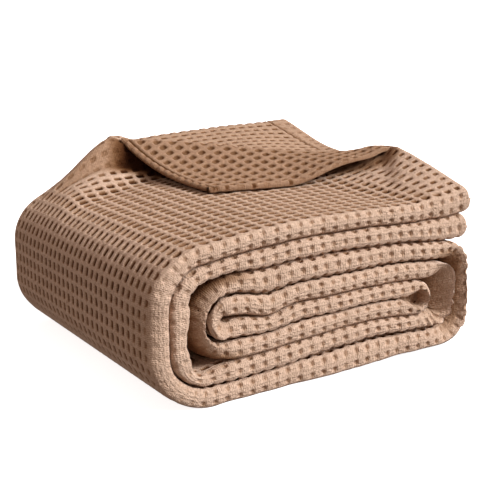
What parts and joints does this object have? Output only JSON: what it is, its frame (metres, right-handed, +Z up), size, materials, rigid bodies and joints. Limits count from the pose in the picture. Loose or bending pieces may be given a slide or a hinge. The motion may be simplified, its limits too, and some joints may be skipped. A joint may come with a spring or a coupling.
{
  "type": "folded waffle weave cotton blanket",
  "caption": "Soft cotton blanket in a waffle weave, rolled flat into a folded bundle with one corner of its top ply turned back over a loose diagonal roll.",
  "frame": {"origin": "on the underside, below the middle of the bundle's bounding box", "axes": "+Z up from the surface that the bundle lies on; +X along the front, towards the open ends of the fold; +Y from the front, where the rounded fold edges show, towards the back"},
  "size_m": [0.276, 0.2394, 0.1505],
  "materials": {
    "waffle_cotton": "matte light tan cotton in a waffle weave of square cells with darker hollows, dry and slightly fuzzy, no sheen"
  },
  "bodies": {
    "root": {"blanket": "waffle_cotton"}
  },
  "joints": []
}
